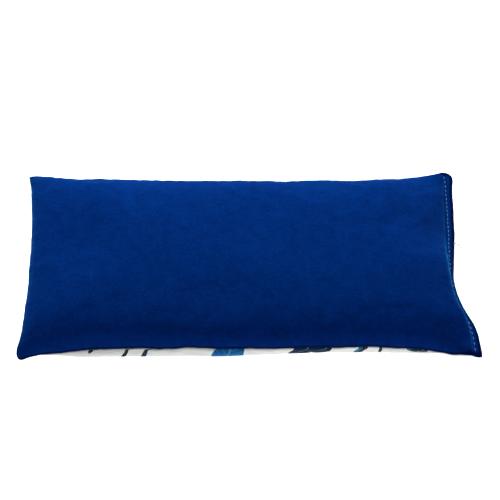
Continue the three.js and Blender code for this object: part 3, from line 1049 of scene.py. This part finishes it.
def printed_cotton():
    """White cotton in a plain weave, printed with leaves in blues."""
    made, nodes = material("printed_cotton")
    cloth = nodes.cloth()
    uneven = nodes.math("SUBTRACT", nodes.noise(cloth, 260, 3), 0.5)
    wobble = nodes.math("MULTIPLY", uneven, 0.9 * MM)
    shift = nodes.add("ShaderNodeCombineXYZ", {0: wobble, 1: wobble}).outputs[0]
    inked_at = nodes.vector_math("ADD", cloth, shift)
    group = leaf_group()
    worn = nodes.step(nodes.noise(cloth, 130, 3), 0.4, 0.75)
    colour = BARE_COTTON
    for x, depth, angle, length, width, ink in EDGE_PRINT + scattered_leaves():
        values = {
            "Cloth": inked_at,
            "X": x * MM,
            "Y": depth * MM - HALF_WIDTH,
            "Angle": math.radians(angle),
            "Length": length * MM,
            "Width": width * MM,
        }
        leaf = nodes.add("ShaderNodeGroup", values, node_tree=group).outputs
        paler = tuple(part * 1.8 + 0.004 for part in ink[:3]) + (1,)
        shade = nodes.blend(worn, ink, paler)
        veins = nodes.math("MULTIPLY", leaf["Vein"], VEIN_SHARE)
        shade = nodes.blend(veins, shade, VEIN_COLOUR)
        colour = nodes.blend(leaf["Ink"], colour, shade)
    warp = weave(nodes, cloth, 0, 0.36 * MM)
    weft = weave(nodes, cloth, 1, 0.4 * MM)
    slub = nodes.noise(nodes.vector_math("MULTIPLY", cloth, (120, 2600, 1)), 1, 3)
    height = nodes.total((nodes.math("MAXIMUM", warp, weft), 1), (slub, 0.5))
    # Painted shade: the low gaps between the yarns are darkened in the colour.
    painted_gap_shade = nodes.math("MULTIPLY", nodes.step(height, 1, 0.3), GAP_SHARE)
    shaded = nodes.blend(painted_gap_shade, colour, PAINTED_GAP_SHADE, "MULTIPLY")
    surface(nodes, {
        "Base Color": shaded,
        "Roughness": 0.85,
        "Specular IOR Level": 0.1,
        "Normal": nodes.bump(height, 0.09 * MM),
    })
    return made


def weave(nodes, cloth, axis, pitch):
    """One set of yarns, side by side along the other axis, passing over and under."""
    parts = nodes.add("ShaderNodeSeparateXYZ", {0: cloth}).outputs
    turn = 2 * math.pi / pitch
    across = nodes.math("MULTIPLY", parts[1 - axis], turn)
    along = nodes.math("MULTIPLY", parts[axis], turn / 2)
    yarn = nodes.math("ABSOLUTE", nodes.math("SINE", nodes.math("MULTIPLY", across, 0.5)))
    over = nodes.math("MULTIPLY", nodes.math("SINE", along), 0.5)
    return nodes.math("MULTIPLY", yarn, nodes.math("ADD", over, 0.5))


def sewing_thread(name, dark, light):
    """Spun thread, with its plies wound round it."""
    made, nodes = material(name)
    cloth = nodes.cloth()
    parts = nodes.add("ShaderNodeSeparateXYZ", {0: cloth}).outputs
    wound = nodes.total((parts[0], 1 / TWIST), (parts[1], 1 / (THREAD * math.pi)))
    ply = nodes.math("ABSOLUTE", nodes.math("SINE", nodes.math("MULTIPLY", wound, math.pi)))
    hair = nodes.noise(cloth, 6000, 2)
    # Partly painted shade: the colour is darkest in the grooves between the plies, and the hair
    # noise adds the thread's own uneven tone.
    tone = nodes.total((ply, 0.7), (hair, 0.3))
    surface(nodes, {
        "Base Color": nodes.blend(nodes.step(tone, 0.1, 0.9), dark, light),
        "Roughness": 0.6,
        "Specular IOR Level": 0.15,
        "Sheen Weight": 0.1,
        "Sheen Tint": light,
        "Normal": nodes.bump(tone, 0.06 * MM),
    })
    return made


def flax_seed():
    """Small smooth brown seeds, each in its own shade."""
    made, nodes = material("flax_seed")
    place = nodes.add("ShaderNodeTexCoord", {}).outputs["Object"]
    counted = nodes.vector_math("MULTIPLY", place, (300, 420, 420))
    seeds = nodes.add("ShaderNodeTexVoronoi", {"Vector": counted, "Scale": 1})
    tone = nodes.add("ShaderNodeSeparateColor", {0: seeds.outputs["Color"]}).outputs[0]
    height = nodes.math("SUBTRACT", 1, seeds.outputs["Distance"])
    surface(nodes, {
        "Base Color": nodes.blend(tone, (0.10, 0.035, 0.010, 1), (0.30, 0.13, 0.04, 1)),
        "Roughness": 0.35,
        "Normal": nodes.bump(height, 0.9 * MM),
    })
    return made


# ---- The pieces ----
def dress(made, finish, slot, *nodes):
    """Gives a new piece its material and puts it in place of these CAD nodes."""
    made.data.materials.append(finish)
    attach(made, "root")
    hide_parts(*nodes)


blue_thread = sewing_thread("blue_thread", (0.022, 0.085, 0.26, 1), (0.08, 0.2, 0.47, 1))
white_thread = sewing_thread("white_thread", (0.09, 0.08, 0.13, 1), (0.17, 0.16, 0.24, 1))

front = panel("front_cloth", (FRONT_S, FRONT_T), front_outside, FRONT_CLOTH, True)
dress(front, brushed_knit(), "brushed_knit", "front_panel")

back = panel("back_cloth", (FINE_S, FINE_T), back_outside, BACK_CLOTH, False)
dress(back, printed_cotton(), "printed_cotton", "back_panel")

dress(seed_heap(), flax_seed(), "flax_seed", "seed_fill")

needle = tube("inside_needle_stitches", inside_path(GAP / 2 + FRONT_CLOTH + SEAM_LIFT))
dress(needle, blue_thread, "blue_thread", "inside_seam_needle_thread")
bobbin = tube("inside_bobbin_stitches", inside_path(-GAP / 2 - BACK_CLOTH - SEAM_LIFT))
dress(bobbin, white_thread, "white_thread", "inside_seam_bobbin_thread")

top_stitches = tube("closing_top_stitches", closing_path(front_outside, True))
dress(top_stitches, blue_thread, "blue_thread", "closing_needle_thread")
under_stitches = tube("closing_under_stitches", closing_path(back_outside, False))
dress(under_stitches, white_thread, "white_thread", "closing_bobbin_thread")

tail = tube("loose_thread_end", tail_path())
dress(tail, white_thread, "white_thread", "thread_tail")


# ---- Floor, light and camera ----
FLOOR_HALF = 6
LIGHTS_AIM = Vector((0, 0, 10 * MM))
COOL_LIGHT = (0.9, 1.24, 1)
CAMERA_ELEVATION = math.radians(60)
CAMERA_DISTANCE = 0.515
CAMERA_AIM = Vector((3.75 * MM, 9.2 * MM, 0))
CAMERA_LENS = 68.5


def floor():
    """The white table top, which glows so that the shadows on it stay faint."""
    made, nodes = material("white_table")
    grain = nodes.noise(nodes.add("ShaderNodeTexCoord", {}).outputs["Object"], 40, 2)
    tone = nodes.blend(grain, (0.86, 0.86, 0.87, 1), (0.9, 0.9, 0.9, 1))
    surface(nodes, {
        "Base Color": tone,
        "Roughness": 0.9,
        "Specular IOR Level": 0.1,
        "Emission Color": (1, 1, 1, 1),
        "Emission Strength": 0.9,
    })
    signs = ((-1, -1), (1, -1), (1, 1), (-1, 1))
    corners = [(x * FLOOR_HALF, y * FLOOR_HALF, 0) for x, y in signs]
    mesh = bpy.data.meshes.new("table_top")
    mesh.from_pydata(corners, [], [(0, 1, 2, 3)])
    mesh.materials.append(made)
    table = placed("table_top", mesh)


def area_light(name, place, size, power, colour=(1, 1, 1)):
    """A round soft light, aimed at the middle of the pillow."""
    data = bpy.data.lights.new(name, "AREA")
    data.shape = "DISK"
    data.size = size
    data.energy = power
    data.color = colour
    lamp = placed(name, data)
    lamp.location = place
    lamp.rotation_mode = "QUATERNION"
    lamp.rotation_quaternion = (LIGHTS_AIM - Vector(place)).to_track_quat("-Z", "Y")


def camera():
    """The photo's view: from well above the table, square to the near side."""
    data = bpy.data.cameras.new("camera")
    data.sensor_width = 36
    data.lens = CAMERA_LENS
    data.clip_start, data.clip_end = 0.01, 50
    cam = placed("camera", data)
    back_to_camera = Vector((0, -math.cos(CAMERA_ELEVATION), math.sin(CAMERA_ELEVATION)))
    cam.location = CAMERA_AIM + back_to_camera * CAMERA_DISTANCE
    cam.rotation_mode = "QUATERNION"
    cam.rotation_quaternion = (-back_to_camera).to_track_quat("-Z", "Y")
    bpy.context.scene.camera = cam


def studio():
    """White surroundings, a key light from behind and weaker ones all round."""
    world = bpy.data.worlds.new("studio")
    bpy.context.scene.world = world
    world.use_nodes = True
    world.node_tree.nodes.clear()
    nodes = Nodes(world.node_tree)
    sky = nodes.add("ShaderNodeBackground", {"Color": (1, 1, 1, 1), "Strength": 0.2})
    wall = nodes.add("ShaderNodeBackground", {"Color": (1, 1, 1, 1), "Strength": 1})
    seen = nodes.add("ShaderNodeLightPath", {}).outputs["Is Camera Ray"]
    both = nodes.add("ShaderNodeMixShader", {0: seen, 1: sky.outputs[0], 2: wall.outputs[0]})
    nodes.add("ShaderNodeOutputWorld", {"Surface": both.outputs[0]})
    area_light("key", (-0.12, 0.98, 0.6), size=0.6, power=23, colour=COOL_LIGHT)
    area_light("top", (0, -0.05, 1.2), size=0.9, power=3.4)
    area_light("rim", (0.42, 1.14, 0.08), size=0.3, power=4, colour=COOL_LIGHT)
    area_light("front", (0, -1.3, 0.12), size=0.8, power=2.1)
    bpy.context.scene.view_settings.view_transform = "Standard"
    bpy.context.scene.view_settings.look = "None"


floor()
studio()
camera()
